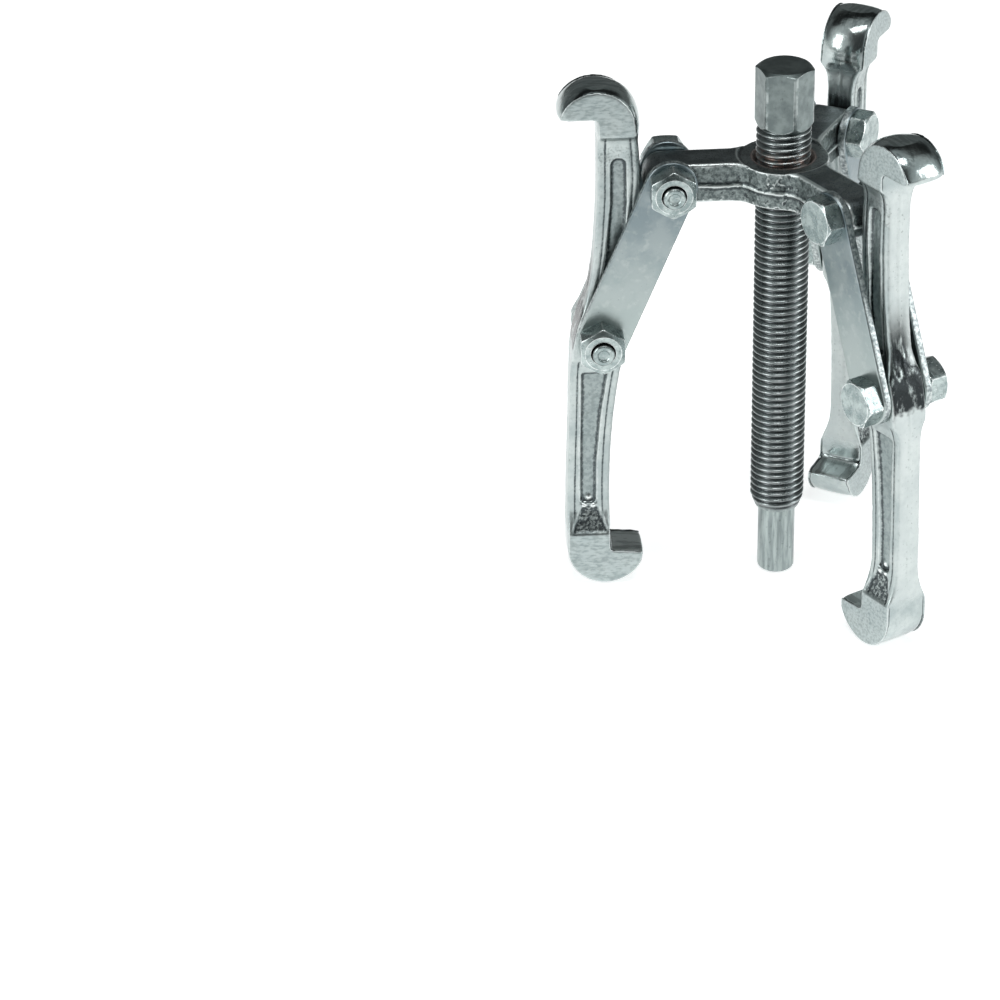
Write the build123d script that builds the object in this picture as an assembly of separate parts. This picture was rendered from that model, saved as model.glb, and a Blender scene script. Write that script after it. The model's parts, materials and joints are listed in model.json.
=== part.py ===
from build123d import *
import os
from math import atan2, cos, degrees, radians, sin, sqrt, tan

# Three-jaw reversible gear puller.  Millimetres, +Z up along the forcing screw.
# The origin is the centre of the forcing screw's lower end face, with the puller at rest.
# Each arm of the puller lies in its own radial plane: r is measured out from the screw's
# axis, z up it, and t across the plane, positive anticlockwise seen from above.

# ---- driving dimensions -------------------------------------------------------------
arm_angles = (180.0, 300.0, 60.0)      # direction of arms 1, 2 and 3 about the screw

screw_major = 20.0                     # M20 x 2.5 forcing screw
tip_diameter = 13.7                    # plain end below the thread
tip_length = 27.0
lead_cone_height = 4.5                 # thread run-out above the plain end
lead_cone_diameter = 16.4
tip_edge_radius = 1.6
hex_across_flats = 19.0                # drive hexagon on the screw
hex_height = 23.0
hex_base_z = 181.5
hex_base_chamfer = 1.6                 # how far the corners are turned down at either end
hex_top_chamfer = 1.9
hex_turn = -14.7                       # degrees, where the screw stands at rest
ball_diameter = 8.0                    # captive thrust ball in the screw's end
ball_stand_out = 0.6
ball_clearance = 0.05

yoke_top_z = 170.0
yoke_height = 15.0
parting_z = 161.6                      # forging line round the yoke
hub_radius = 16.8
arm_width = 14.9
arm_end_radius = 50.7                  # reach of the arm ends from the screw's axis
arm_corner_radius = 6.6                # rounding of the arm ends, seen from the side
hub_blend_radius = 9.0
forging_draft = 3.0                    # degrees
spot_face_diameter = 33.0
spot_face_depth = 0.5
bore_chamfer = 1.9
thread_clearance = 0.06                # radial, between screw and yoke

upper_pivot = (41.2, 163.2)            # r, z of the bolt in the yoke arm
lower_pivot = (66.6, 101.9)            # r, z of the bolt in the jaw

strap_width = 19.2
strap_thickness = 3.2
strap_edge_chamfer = 0.35
strap_gap = 0.2                        # between a strap and the arm or jaw boss inside it

bolt_diameter = 10.0                   # M10 pivot bolts and nuts
fit_clearance = 0.05                   # radial, bolt in a pivot hole
fastener_across_flats = 16.0
bolt_head_height = 6.4
nut_height = 8.4
fastener_corner_chamfer = 1.2
bolt_end_chamfer = 1.1
nut_mouth_chamfer = 0.7
bolt_stand_out = 2.0                   # bolt end beyond the nut
nut_thread_clearance = 0.02
seat_gap = 0.05                        # under a bolt head or nut

jaw_shank_half = 5.2                   # half thickness of the jaw's shank
jaw_head_half = 8.8                    # half thickness of the hook heads
jaw_boss_half = 7.5                    # half thickness round the pivot
pocket_depth = 1.3


# ---- helpers ------------------------------------------------------------------------
def place_on_arm(solid, angle):
    """Turn a solid built in the plane y = 0, with r along +X, round to its arm."""
    return Rot(0, 0, angle) * solid


def slab(face, low_t, high_t):
    """Extrude a profile drawn in r and z from low_t to high_t along +Y."""
    upright = Plane.XZ.offset(-low_t) * face
    return extrude(upright, amount=high_t - low_t, dir=(0, 1, 0))


def along_t(radius, low_t, high_t, pivot):
    """A cylinder along the t axis through a pivot point."""
    return slab(Pos(*pivot) * Circle(radius), low_t, high_t)


def hexagon_bar(across_flats, height, low_chamfer, high_chamfer):
    """Hexagonal bar on +Z from 0, its corners turned down to a cone at either end."""
    corner_radius = across_flats / sqrt(3)
    bar = extrude(RegularPolygon(corner_radius, 6), amount=height)
    cone_angle_rise = tan(radians(30))
    flank = []
    flank.append((0, 0))
    flank.append((corner_radius - low_chamfer, 0))
    flank.append((corner_radius + 0.01, low_chamfer * cone_angle_rise))
    flank.append((corner_radius + 0.01, height - high_chamfer * cone_angle_rise))
    flank.append((corner_radius - high_chamfer, height))
    flank.append((0, height))
    turned = revolve(Plane.XZ * make_face(Polyline(*flank, close=True)), axis=Axis.Z)
    return bar & turned


# ---- forcing screw and its thrust ball ----------------------------------------------
def make_forcing_screw():
    cone_start = tip_length
    cone_end = tip_length + lead_cone_height
    tip_radius = tip_diameter / 2
    major_radius = screw_major / 2
    outline = Polyline(
        (0, 0),
        (tip_radius, 0),
        (tip_radius, cone_start),
        (lead_cone_diameter / 2, cone_start),
        (major_radius, cone_end),
        (major_radius, hex_base_z),
        (0, hex_base_z),
        close=True,
    )
    body = revolve(Plane.XZ * make_face(outline), axis=Axis.Z)
    end_edge = body.edges().filter_by(GeomType.CIRCLE).sort_by(Axis.Z)[0]
    body = fillet(end_edge, tip_edge_radius)
    drive = hexagon_bar(hex_across_flats, hex_height, hex_base_chamfer, hex_top_chamfer)
    drive = Pos(0, 0, hex_base_z) * Rot(0, 0, hex_turn) * drive
    ball_radius = ball_diameter / 2
    socket = Pos(0, 0, ball_radius - ball_stand_out) * Sphere(ball_radius + ball_clearance)
    return body + drive - socket


def make_thrust_ball():
    return Pos(0, 0, ball_diameter / 2 - ball_stand_out) * Sphere(ball_diameter / 2)


# ---- yoke ---------------------------------------------------------------------------
def make_yoke():
    plan = Circle(hub_radius)
    for angle in arm_angles:
        arm = Pos(arm_end_radius / 2 + 2, 0) * Rectangle(arm_end_radius + 4, arm_width)
        plan += Rot(0, 0, angle) * arm
    corners = []
    for vertex in plan.vertices():
        if Vector(vertex.X, vertex.Y, 0).length < hub_radius + 1:
            corners.append(vertex)
    plan = fillet(corners, hub_blend_radius)
    upper = extrude(Pos(0, 0, parting_z) * plan, amount=yoke_top_z - parting_z, taper=forging_draft)
    lower_height = parting_z - (yoke_top_z - yoke_height)
    lower = extrude(Pos(0, 0, parting_z) * plan, amount=-lower_height, taper=forging_draft)
    blank = upper + lower

    # The arm ends are rounded over, top and bottom.
    section = Pos(arm_end_radius / 2, yoke_top_z - yoke_height / 2) * Rectangle(
        arm_end_radius, yoke_height
    )
    outer = section.vertices().group_by(Axis.X)[-1]
    section = fillet(outer, arm_corner_radius)
    yoke = blank & revolve(Plane.XZ * section, axis=Axis.Z)

    bore_radius = screw_major / 2 + thread_clearance
    yoke -= Pos(0, 0, yoke_top_z - yoke_height / 2) * Cylinder(bore_radius, yoke_height + 2)
    spot = Cylinder(spot_face_diameter / 2, 2 * spot_face_depth)
    yoke -= Pos(0, 0, yoke_top_z) * spot
    chamfer_top = yoke_top_z - spot_face_depth
    cone = Cone(bore_radius, bore_radius + bore_chamfer, bore_chamfer)
    yoke -= Pos(0, 0, chamfer_top - bore_chamfer / 2) * cone
    for angle in arm_angles:
        hole = along_t(bolt_diameter / 2 + fit_clearance, -arm_width, arm_width, upper_pivot)
        yoke -= place_on_arm(hole, angle)
    return yoke


# ---- straps -------------------------------------------------------------------------
def make_strap(side):
    """One flat strap; side is +1 for the nut side and -1 for the bolt-head side."""
    dr = lower_pivot[0] - upper_pivot[0]
    dz = lower_pivot[1] - upper_pivot[1]
    length = sqrt(dr * dr + dz * dz)
    lean = degrees(atan2(dz, dr))
    middle = ((upper_pivot[0] + lower_pivot[0]) / 2, (upper_pivot[1] + lower_pivot[1]) / 2)
    blank = Pos(*middle) * Rot(0, 0, lean) * SlotCenterToCenter(length, strap_width)
    for pivot in (upper_pivot, lower_pivot):
        blank -= Pos(*pivot) * Circle(bolt_diameter / 2 + fit_clearance)
    inner = arm_width / 2 + strap_gap
    outer = inner + strap_thickness
    strap = slab(blank, inner, outer) if side > 0 else slab(blank, -outer, -inner)
    rims = strap.edges().filter_by(lambda edge: edge.length > strap_width)
    return chamfer(rims, strap_edge_chamfer)


# ---- pivot bolts and nuts -----------------------------------------------------------
strap_outer_face = arm_width / 2 + strap_gap + strap_thickness


def across_arm(solid, pivot, start_t, direction):
    """Stand a solid built on +Z at a pivot, its base at start_t, along +t or -t."""
    turn = -90 if direction > 0 else 90
    return Pos(pivot[0], start_t, pivot[1]) * Rot(turn, 0, 0) * solid


def make_bolt(pivot):
    seat = strap_outer_face + seat_gap
    head = hexagon_bar(fastener_across_flats, bolt_head_height, 0.0, fastener_corner_chamfer)
    head = across_arm(head, pivot, -seat, -1)
    end_t = seat + nut_height + bolt_stand_out
    shank = Cylinder(bolt_diameter / 2, end_t + seat, align=(Align.CENTER, Align.CENTER, Align.MIN))
    end_edge = shank.edges().filter_by(GeomType.CIRCLE).sort_by(Axis.Z)[-1]
    shank = chamfer(end_edge, bolt_end_chamfer)
    return head + across_arm(shank, pivot, -seat, 1)


def make_nut(pivot):
    seat = strap_outer_face + seat_gap
    corner = fastener_corner_chamfer
    nut = hexagon_bar(fastener_across_flats, nut_height, corner, corner)
    hole_radius = bolt_diameter / 2 + nut_thread_clearance
    nut -= Pos(0, 0, nut_height / 2) * Cylinder(hole_radius, nut_height + 1)
    mouth = Cone(hole_radius, hole_radius + nut_mouth_chamfer, nut_mouth_chamfer)
    nut -= Pos(0, 0, nut_height - nut_mouth_chamfer / 2) * mouth
    return across_arm(Rot(0, 0, 30) * nut, pivot, seat, 1)


# ---- jaw ----------------------------------------------------------------------------
# Side outline of a jaw in r and z.  The upper hook points out and the lower hook in.
upper_crown_centre = (68.1, 186.1)
upper_crown_radius = 14.2
lower_crown_centre = (64.6, 14.8)
lower_crown_radius = 14.6
upper_grip_z = 189.4                   # under the upper hook
upper_shank_outer_r = 67.7             # shank beside the upper hook
upper_shank_start_z = 158.0
lower_grip_z = 12.9                    # on the lower hook
lower_grip_rise = 0.9                  # towards the shank
lower_shank_inner_r = 63.0             # shank beside the lower hook
lower_shank_end_z = 30.0
grip_root_radius = 1.8


def on_circle(centre, radius, degrees):
    return (
        centre[0] + radius * cos(radians(degrees)),
        centre[1] + radius * sin(radians(degrees)),
    )


def jaw_side_outline():
    upper_tip = on_circle(upper_crown_centre, upper_crown_radius, 12)
    upper_top = on_circle(upper_crown_centre, upper_crown_radius, 95)
    upper_back = on_circle(upper_crown_centre, upper_crown_radius, 178)
    lower_back = on_circle(lower_crown_centre, lower_crown_radius, 4)
    lower_base = on_circle(lower_crown_centre, lower_crown_radius, -92)
    lower_toe = on_circle(lower_crown_centre, lower_crown_radius, -173)
    upper_root = (upper_shank_outer_r, upper_grip_z)
    lower_root = (lower_shank_inner_r, lower_grip_z + lower_grip_rise)
    crown = ThreePointArc(upper_tip, upper_top, upper_back)
    inner_edge = Spline(
        upper_back,
        (52.0, 165.0),
        (53.4, 138.0),
        (56.4, 104.0),
        (60.2, 80.0),
        (62.6, 55.0),
        (lower_shank_inner_r, lower_shank_end_z),
    )
    inner_end = Line((lower_shank_inner_r, lower_shank_end_z), lower_root)
    grip = Line(lower_root, lower_toe)
    base = ThreePointArc(lower_toe, lower_base, lower_back)
    outer_edge = Spline(
        lower_back,
        (78.9, 45.0),
        (78.1, 75.0),
        (77.0, 97.0),
        (75.0, 107.0),
        (71.6, 118.0),
        (69.0, 135.0),
        (upper_shank_outer_r, upper_shank_start_z),
    )
    outer_end = Line((upper_shank_outer_r, upper_shank_start_z), upper_root)
    upper_grip = Line(upper_root, upper_tip)
    edges = [crown, inner_edge, inner_end, grip, base, outer_edge, outer_end, upper_grip]
    face = make_face(edges)
    roots = []
    for vertex in face.vertices():
        for root in (upper_root, lower_root):
            if Vector(vertex.X - root[0], vertex.Y - root[1], 0).length < 0.01:
                roots.append(vertex)
    return fillet(roots, grip_root_radius)


def jaw_edge_outline():
    """Outline of the jaw seen edge on, in t and z: wide at both hooks and at the pivot."""
    right = [
        (jaw_head_half, -5.0),
        (jaw_head_half, 21.0),
        (6.9, 25.5),
        (5.7, 29.5),
        (jaw_shank_half, 34.0),
        (jaw_shank_half, 86.0),
        (6.1, 90.5),
        (jaw_boss_half, 93.5),
        (jaw_boss_half, 110.5),
        (6.3, 114.0),
        (jaw_shank_half, 119.5),
        (jaw_shank_half, 174.5),
        (5.7, 178.0),
        (6.7, 180.6),
        (jaw_head_half, 182.5),
        (jaw_head_half, 205.0),
    ]
    left = [(-t, z) for t, z in reversed(right)]
    return make_face(Polyline(*right, *left, close=True))


def pocket_outlines():
    """The two shallow panels forged into each side of the shank."""
    upper = make_face(Polyline(
        (57.2, 172.6),
        (62.6, 172.6),
        (62.7, 155.0),
        (64.3, 135.0),
        (67.0, 118.0),
        (60.8, 118.0),
        (58.0, 135.0),
        (57.1, 155.0),
        close=True,
    ))
    upper = fillet(upper.vertices().group_by(Axis.Y)[-1], 2.4)
    lower = make_face(Polyline(
        (63.9, 87.0),
        (73.4, 87.0),
        (73.8, 60.0),
        (73.9, 32.5),
        (68.4, 32.5),
        (68.2, 50.0),
        (66.5, 70.0),
        close=True,
    ))
    lower = fillet(lower.vertices().group_by(Axis.Y)[0], 1.5)
    return upper, lower


def make_jaw():
    reach = 20.0
    across = slab(jaw_side_outline(), -reach, reach)
    edge_on = extrude(Plane.YZ * jaw_edge_outline(), amount=100)
    jaw = across & edge_on
    for outline in pocket_outlines():
        floor = jaw_shank_half - pocket_depth
        jaw -= slab(outline, floor, reach)
        jaw -= slab(outline, -reach, -floor)
    jaw -= along_t(bolt_diameter / 2 + fit_clearance, -reach, reach, lower_pivot)
    return jaw


# ---- assembly -----------------------------------------------------------------------
def make_parts():
    parts = {
        "forcing_screw": make_forcing_screw(),
        "thrust_ball": make_thrust_ball(),
        "yoke": make_yoke(),
    }
    arm_pieces = {
        "jaw_{}": make_jaw(),
        "strap_{}_nut_side": make_strap(1),
        "strap_{}_head_side": make_strap(-1),
        "upper_bolt_{}": make_bolt(upper_pivot),
        "upper_nut_{}": make_nut(upper_pivot),
        "lower_bolt_{}": make_bolt(lower_pivot),
        "lower_nut_{}": make_nut(lower_pivot),
    }
    for number, angle in enumerate(arm_angles, start=1):
        for name, solid in arm_pieces.items():
            parts[name.format(number)] = place_on_arm(solid, angle)
    return parts


os.makedirs("parts", exist_ok=True)
for node, solid in make_parts().items():
    solid.label = node
    export_step(solid, f"parts/{node}.step")
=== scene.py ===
import bmesh
import bpy
import json
import math
import numpy as np
from mathutils import Matrix, Vector, kdtree, noise


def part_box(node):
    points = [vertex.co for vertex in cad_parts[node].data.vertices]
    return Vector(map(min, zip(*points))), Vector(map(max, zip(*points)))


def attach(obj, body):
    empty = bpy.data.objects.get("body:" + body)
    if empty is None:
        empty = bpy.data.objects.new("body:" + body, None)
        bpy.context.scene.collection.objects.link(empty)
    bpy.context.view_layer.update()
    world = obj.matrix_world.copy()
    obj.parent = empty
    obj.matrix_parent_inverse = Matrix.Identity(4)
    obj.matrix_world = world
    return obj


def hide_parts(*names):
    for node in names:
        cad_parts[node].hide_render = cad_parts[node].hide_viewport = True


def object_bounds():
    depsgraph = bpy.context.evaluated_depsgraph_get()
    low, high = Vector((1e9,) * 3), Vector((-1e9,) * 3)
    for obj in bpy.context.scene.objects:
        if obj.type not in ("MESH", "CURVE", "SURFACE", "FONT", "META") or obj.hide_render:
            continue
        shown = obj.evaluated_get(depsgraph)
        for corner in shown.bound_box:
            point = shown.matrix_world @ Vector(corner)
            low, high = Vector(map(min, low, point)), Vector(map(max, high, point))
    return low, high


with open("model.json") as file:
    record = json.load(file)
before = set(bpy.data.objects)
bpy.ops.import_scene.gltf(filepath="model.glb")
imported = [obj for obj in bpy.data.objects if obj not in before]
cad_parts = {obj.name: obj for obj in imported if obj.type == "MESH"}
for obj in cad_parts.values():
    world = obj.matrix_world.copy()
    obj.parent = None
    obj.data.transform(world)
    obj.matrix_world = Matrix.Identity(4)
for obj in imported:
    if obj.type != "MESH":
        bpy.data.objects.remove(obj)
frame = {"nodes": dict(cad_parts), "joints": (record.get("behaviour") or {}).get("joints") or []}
cad_low, cad_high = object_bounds()

# ---- Studio bench --------------------------------------------------------------------
# The puller stands on a white paper sweep between two soft boxes, with a dark curtain behind it
# that the faces turned up reflect.  A long lens looks down on it, so uprights stay nearly parallel.
scene = bpy.context.scene
turn = math.radians(-3.427)
tilt = math.radians(28.935)
roll = math.radians(-0.764)
back = Vector((math.sin(turn) * math.cos(tilt), -math.cos(turn) * math.cos(tilt), math.sin(tilt)))
level = Vector((math.cos(turn), math.sin(turn), 0.0))
raised = back.cross(level)
right = math.cos(roll) * level + math.sin(roll) * raised
above = math.cos(roll) * raised - math.sin(roll) * level
film_width = 36.0
lens_to_film = 4.576
camera_place = (-0.1929, -1.4897, 0.8577)
lens = bpy.data.cameras.new("long_lens")
lens.sensor_width = film_width
lens.lens = film_width * lens_to_film
lens.clip_end = 50.0
camera = bpy.data.objects.new("camera", lens)
scene.collection.objects.link(camera)
axes = Matrix((right, above, back)).transposed()
camera.matrix_world = Matrix.Translation(camera_place) @ axes.to_4x4()
scene.camera = camera


class Wire:
    """A socket in a node tree.  Arithmetic on it adds Math nodes, and add() puts in any other node."""

    def __init__(self, tree, socket=None):
        self.tree = tree
        self.socket = socket

    def add(self, kind, settings=None, inputs=None, out=0):
        """Add a node: its settings are set first, then its sockets are filled or linked."""
        node = self.tree.nodes.new(kind)
        for name, value in (settings or {}).items():
            setattr(node, name, value)
        for name, value in (inputs or {}).items():
            if isinstance(value, Wire):
                self.tree.links.new(value.socket, node.inputs[name])
            else:
                node.inputs[name].default_value = value
        return Wire(self.tree, node.outputs[out])

    def math(self, operation, first, second=0.0):
        """A Math node, whose operation may need the second value or not."""
        return self.add("ShaderNodeMath", {"operation": operation}, {0: first, 1: second})

    def __add__(self, other):
        return self.math("ADD", self, other)

    def __sub__(self, other):
        return self.math("SUBTRACT", self, other)

    def __mul__(self, other):
        return self.math("MULTIPLY", self, other)

    def __truediv__(self, other):
        return self.math("DIVIDE", self, other)

    def __radd__(self, other):
        return self.math("ADD", other, self)

    def __rsub__(self, other):
        return self.math("SUBTRACT", other, self)

    def __rmul__(self, other):
        return self.math("MULTIPLY", other, self)

    def ramp(self, start, end, low=0.0, high=1.0):
        """A smooth step from low to high while this value goes from start to end."""
        ends = {"Value": self, "From Min": start, "From Max": end, "To Min": low, "To Max": high}
        return self.add("ShaderNodeMapRange", {"interpolation_type": "SMOOTHSTEP"}, ends)

    def tint(self, low, high):
        """A colour that goes from low to high with this value."""
        return self.add("ShaderNodeMix", {"data_type": "RGBA"}, {0: self, 6: low, 7: high}, out=2)

    def split(self):
        """The x, y and z of this vector."""
        node = self.tree.nodes.new("ShaderNodeSeparateXYZ")
        self.tree.links.new(self.socket, node.inputs[0])
        return [Wire(self.tree, socket) for socket in node.outputs]

    def into(self, node, name):
        """Feed this wire into a named socket of a node."""
        self.tree.links.new(self.socket, node.inputs[name])


paper = bpy.data.materials.new("white_sweep")
paper.use_nodes = True
paper_shader = paper.node_tree.nodes["Principled BSDF"]
paper_shader.inputs["Base Color"].default_value = (0.88, 0.88, 0.88, 1)
paper_shader.inputs["Roughness"].default_value = 0.9
paper_shader.inputs["Emission Strength"].default_value = 0.62
# The sweep glows: a painted glow, white round and behind the puller and dimming to dark grey in front
# of it, which lights the puller and darkens what its faces reflect from the front.
_, paper_y, _ = Wire(paper.node_tree).add("ShaderNodeTexCoord", out="Object").split()
glow_dimmed_in_front = (0 - paper_y).ramp(0.3, 0.75)
glow_dimmed_in_front.tint((1, 1, 1, 1), (0.08, 0.08, 0.08, 1)).into(paper_shader, "Emission Color")
floor_reach = 6.0
floor_z = cad_low.z
signs = ((-1, -1), (1, -1), (1, 1), (-1, 1))
corners = [(x * floor_reach, y * floor_reach, floor_z) for x, y in signs]
floor_mesh = bpy.data.meshes.new("sweep")
floor_mesh.from_pydata(corners, [], [(0, 1, 2, 3)])
floor_mesh.materials.append(paper)
floor = bpy.data.objects.new("sweep", floor_mesh)
scene.collection.objects.link(floor)


def soft_box(name, position, width, height, watts):
    """A rectangular soft light that faces the middle of the puller."""
    data = bpy.data.lights.new(name, "AREA")
    data.shape = "RECTANGLE"
    data.size = width
    data.size_y = height
    data.energy = watts
    lamp = bpy.data.objects.new(name, data)
    lamp.location = position
    middle = (cad_low + cad_high) / 2
    lamp.rotation_euler = (middle - Vector(position)).to_track_quat("-Z", "Y").to_euler()
    scene.collection.objects.link(lamp)


soft_box("overhead", (0.1, -0.55, 1.8), 1.3, 0.5, 13)
soft_box("left", (-1.5, -0.75, 0.75), 0.5, 1.1, 8)
soft_box("right", (1.6, -0.55, 0.6), 0.45, 1.1, 8)

world = bpy.data.worlds.new("studio")
world.use_nodes = True
world_shader = world.node_tree.nodes["Background"]
ray = Wire(world.node_tree).add("ShaderNodeTexCoord", out="Generated")
ray_x, ray_y, ray_z = ray.split()
curtain = ray_y.ramp(-0.15, 0.3) * ray_z.ramp(0.02, 0.2) * (1 - ray_z.ramp(0.82, 0.96))
curtain_light = 0.02 + 0.13 * (1 - ray_z.ramp(0.5, 0.7))
sides = ray_x.math("ABSOLUTE", ray_x).ramp(0.25, 0.8)
front = 0.07 + 0.6 * sides + 0.35 * ray_z.ramp(0.7, 0.95)
studio_light = front * (1 - curtain) + curtain_light * curtain
seen = ray.add("ShaderNodeLightPath", out="Is Camera Ray")
(studio_light * (1 - seen) + 0.9 * seen).into(world_shader, "Strength")
world_shader.inputs["Color"].default_value = (0.93, 1.0, 1.0, 1)
scene.world = world
scene.view_settings.view_transform = "Standard"

# ---- Forcing screw -------------------------------------------------------------------
# An M20 x 2.5 screw in alloy steel with a rolled thread, a plain turned nose that bears on the
# shaft, and a 19 mm hexagon forged on top for the spanner.  It is plated and then oiled.
mm = 0.001
_, screw_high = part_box("forcing_screw")
screw_pitch = 2.5 * mm
screw_crest = 10.0 * mm
screw_root = 8.5 * mm
nose_radius = 6.85 * mm
nose_length = 27.0 * mm
lead_radius = 8.2 * mm
lead_length = 4.5 * mm
hexagon_flats = 19.0 * mm
hexagon_height = 23.0 * mm
hexagon_turn = math.radians(-14.7)
hexagon_base = screw_high.z - hexagon_height
grease_low = 167 * mm
screw_columns = 96


def new_tree(name, sockets):
    """A Geometry Nodes tree with the named inputs, given as label: (type, value), and their wires."""
    tree = bpy.data.node_groups.new(name, "GeometryNodeTree")
    for label, (kind, value) in sockets.items():
        socket = tree.interface.new_socket(name=label, in_out="INPUT", socket_type="NodeSocket" + kind)
        if value is not None:
            socket.default_value = value
    tree.interface.new_socket(name="Geometry", in_out="OUTPUT", socket_type="NodeSocketGeometry")
    entry = tree.nodes.new("NodeGroupInput")
    return tree, {label: Wire(tree, entry.outputs[label]) for label in sockets}


def grid_positions(wire, rows, columns):
    """A grid of rows by columns + 1 points, with each point's row and column."""
    across = columns + 1
    grid = wire.add("GeometryNodeMeshGrid", None, {"Vertices X": rows, "Vertices Y": across}, "Mesh")
    index = wire.add("GeometryNodeInputIndex")
    ratio = (index + 0.5) / across
    row = ratio.math("FLOOR", ratio)
    return grid, row, index - row * across


def close_tree(tree, grid, radius, angle, z, material):
    """Wrap the grid round the Z axis, close its seam and give it its material."""
    cosine = angle.math("COSINE", angle)
    sine = angle.math("SINE", angle)
    place = radius.add("ShaderNodeCombineXYZ", None, {0: radius * cosine, 1: radius * sine, 2: z})
    shape = grid.add("GeometryNodeSetPosition", None, {"Geometry": grid, "Position": place})
    shape = shape.add("GeometryNodeMergeByDistance", None, {"Geometry": shape, "Distance": 2e-6})
    shape = shape.add("GeometryNodeSetShadeSmooth", None, {"Geometry": shape})
    shape = shape.add("GeometryNodeRealizeInstances", None, {"Geometry": shape})
    shape = shape.add("GeometryNodeSetMaterial", None, {"Geometry": shape, "Material": material})
    shape.into(tree.nodes.new("NodeGroupOutput"), "Geometry")


# A profile drawn in r and z is spun round the axis, and six flats are milled on it.
lathe, given = new_tree("spin_and_mill", {
    "Geometry": ("Geometry", None),
    "Columns": ("Int", 48),
    "Across Flats": ("Float", 1.0),
    "Turn": ("Float", 0.0),
    "Material": ("Material", None),
})
profile = given["Geometry"]
point_count = profile.add("GeometryNodeAttributeDomainSize", None, {"Geometry": profile}, "Point Count")
grid, row, column = grid_positions(profile, point_count, given["Columns"])
position = profile.add("GeometryNodeInputPosition")
taken = {"Geometry": profile, "Value": position, "Index": row}
drawn = profile.add("GeometryNodeSampleIndex", {"data_type": "FLOAT_VECTOR"}, taken)
drawn_radius, _, drawn_z = drawn.split()
swept = column / given["Columns"] * math.tau
sixth = math.tau / 6
in_flat = swept.math("FLOORED_MODULO", swept, sixth) - sixth / 2
flat_radius = given["Across Flats"] / 2 / in_flat.math("COSINE", in_flat)
milled = drawn_radius.math("MINIMUM", drawn_radius, flat_radius)
close_tree(lathe, grid, milled, swept + given["Turn"], drawn_z, given["Material"])

# A thread whose rows of points follow the helix, with a conical run-out at either end.
thread_roll, given = new_tree("roll_thread", {
    "Columns": ("Int", 48),
    "Rows Per Pitch": ("Int", 8),
    "Pitch": ("Float", 0.0025),
    "Crest Radius": ("Float", 0.01),
    "Root Radius": ("Float", 0.0085),
    "Low End": ("Float", 0.0),
    "High End": ("Float", 0.1),
    "Low Radius": ("Float", 0.008),
    "High Radius": ("Float", 0.008),
    "Low Lead": ("Float", 0.004),
    "High Lead": ("Float", 0.001),
    "Turn": ("Float", 0.0),
    "Material": ("Material", None),
})
low_end = given["Low End"]
high_end = given["High End"]
rise = given["Pitch"] / given["Rows Per Pitch"]
row_count = (high_end - low_end) / rise
row_count = row_count.math("CEIL", row_count) + given["Rows Per Pitch"] + 1
grid, row, column = grid_positions(low_end, row_count, given["Columns"])
round_share = column / given["Columns"]
climb = low_end + (row - given["Rows Per Pitch"]) * rise + round_share * given["Pitch"]
height = climb.math("MINIMUM", climb.math("MAXIMUM", climb, low_end), high_end)
turns = (height - low_end) / given["Pitch"] - round_share + 1 / 16
phase = turns.math("FLOORED_MODULO", turns, 1.0)
from_crest = 2 * phase.math("ABSOLUTE", phase - 0.5)
ridge = from_crest.ramp(0.1, 0.9, 1.0, 0.0)
thread_radius = given["Root Radius"] + (given["Crest Radius"] - given["Root Radius"]) * ridge
for start, radius_name, lead_name in (
    (height - low_end, "Low Radius", "Low Lead"),
    (high_end - height, "High Radius", "High Lead"),
):
    spread = given["Crest Radius"] - given[radius_name]
    cone = given[radius_name] + start / given[lead_name] * spread
    thread_radius = cone.math("MINIMUM", thread_radius, cone)
swept = round_share * math.tau + given["Turn"]
close_tree(thread_roll, grid, thread_radius, swept, height, given["Material"])


def make_with(tree, name, settings, points=()):
    """Run a tree on a new object, with a profile of r, z points where it needs one: a plain mesh."""
    base = bpy.data.meshes.new(name)
    base.from_pydata([(r, 0.0, z) for r, z in points], [], [])
    holder = bpy.data.objects.new(name, base)
    modifier = holder.modifiers.new(name, "NODES")
    modifier.node_group = tree
    for item in tree.interface.items_tree:
        if item.in_out == "INPUT" and item.name in settings:
            modifier[item.identifier] = settings[item.name]
    scene.collection.objects.link(holder)
    evaluated = holder.evaluated_get(bpy.context.evaluated_depsgraph_get())
    mesh = bpy.data.meshes.new_from_object(evaluated)
    bpy.data.objects.remove(holder)
    return mesh


def weld(name, meshes, material, thread):
    """Join meshes whose end rings meet into one closed shell, with crisp edges off its thread."""
    shell = bmesh.new()
    for mesh in meshes:
        shell.from_mesh(mesh)
    bmesh.ops.remove_doubles(shell, verts=shell.verts, dist=4e-6)
    bmesh.ops.recalc_face_normals(shell, faces=shell.faces)
    for face in shell.faces:
        face.smooth = True
    # Crisp convex edges are marked for edge wear and for a painted highlight along them in the
    # finishes.
    edge_wear_and_glint = shell.verts.layers.float.new("edge_wear_and_glint")
    for edge in shell.edges:
        on_thread = all(thread[0] < vertex.co.z < thread[1] for vertex in edge.verts)
        edge.smooth = on_thread or edge.calc_face_angle(0.0) < math.radians(16)
        if not edge.smooth and edge.is_convex:
            for vertex in edge.verts:
                vertex[edge_wear_and_glint] = 1.0
    whole = bpy.data.meshes.new(name)
    shell.to_mesh(whole)
    shell.free()
    whole.materials.clear()
    whole.materials.append(material)
    return whole


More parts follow.
